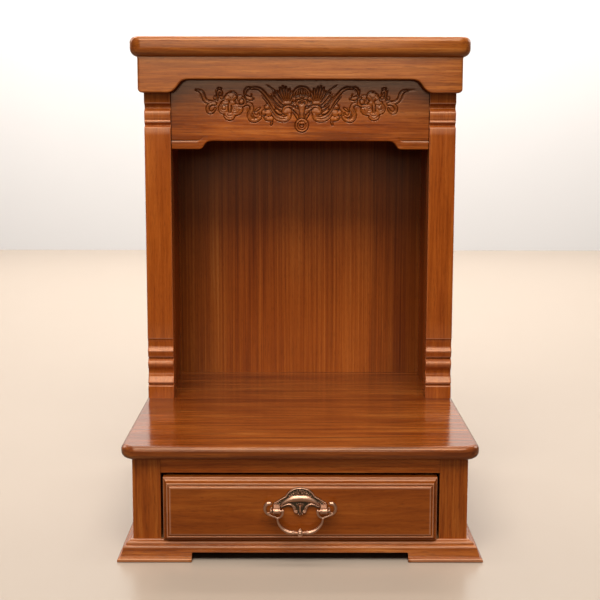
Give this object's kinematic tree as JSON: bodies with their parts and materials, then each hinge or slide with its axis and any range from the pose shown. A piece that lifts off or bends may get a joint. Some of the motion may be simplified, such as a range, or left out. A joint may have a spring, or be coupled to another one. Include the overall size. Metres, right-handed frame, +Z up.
{
  "type": "household altar cabinet",
  "caption": "Wooden household altar cabinet with an open niche under a carved apron, a platform board and a base drawer with a bail handle.",
  "frame": {"origin": "centre of the bounding box's base, on the floor under the cabinet", "axes": "+Z up, the front with drawer and niche faces -Y, +X to the viewer's right"},
  "size_m": [0.511, 0.4964, 0.712],
  "materials": {
    "wood_frame": "reddish-brown varnished hardwood, satin to gloss, straight grain",
    "wood_board": "reddish-brown varnished hardwood boards, glossy, grain along the width",
    "niche_panel": "ribbon-striped varnished veneer, grain upright",
    "wood_inside": "plain unstained wood, matt",
    "bronze": "antique copper-bronze casting, bright on the high parts and dark olive in the recesses"
  },
  "bodies": {
    "cabinet": {"top_board": "wood_board", "crown_front": "wood_frame", "crown_left": "wood_frame", "crown_right": "wood_frame", "valance": "wood_frame", "post_front_left": "wood_frame", "post_front_right": "wood_frame", "post_rear_left": "wood_frame", "post_rear_right": "wood_frame", "side_panel_left": "niche_panel", "side_panel_right": "niche_panel", "side_rail_left": "wood_frame", "side_rail_right": "wood_frame", "back_panel": "niche_panel", "platform": "wood_board", "base_post_front_left": "wood_frame", "base_post_front_right": "wood_frame", "base_post_rear_left": "wood_frame", "base_post_rear_right": "wood_frame", "base_side_left": "wood_frame", "base_side_right": "wood_frame", "base_back": "wood_inside", "drawer_rail": "wood_frame", "base_floor": "wood_inside", "plinth_front": "wood_frame", "plinth_left": "wood_frame", "plinth_right": "wood_frame"},
    "drawer": {"drawer_front": "wood_frame", "drawer_side_left": "wood_inside", "drawer_side_right": "wood_inside", "drawer_back": "wood_inside", "drawer_bottom": "wood_inside", "handle_plate": "bronze"},
    "bail": {"handle_bail": "bronze"}
  },
  "joints": [
    {"name": "drawer_slide", "type": "slide", "parent": "cabinet", "child": "drawer", "axis": [0, -1, 0], "range_m": [0, 0.26]},
    {"name": "bail_swing", "type": "hinge", "parent": "drawer", "child": "bail", "pos_m": [0, -0.24425, 0.07425], "axis": [-1, 0, 0], "range_deg": [0, 60]}
  ]
}
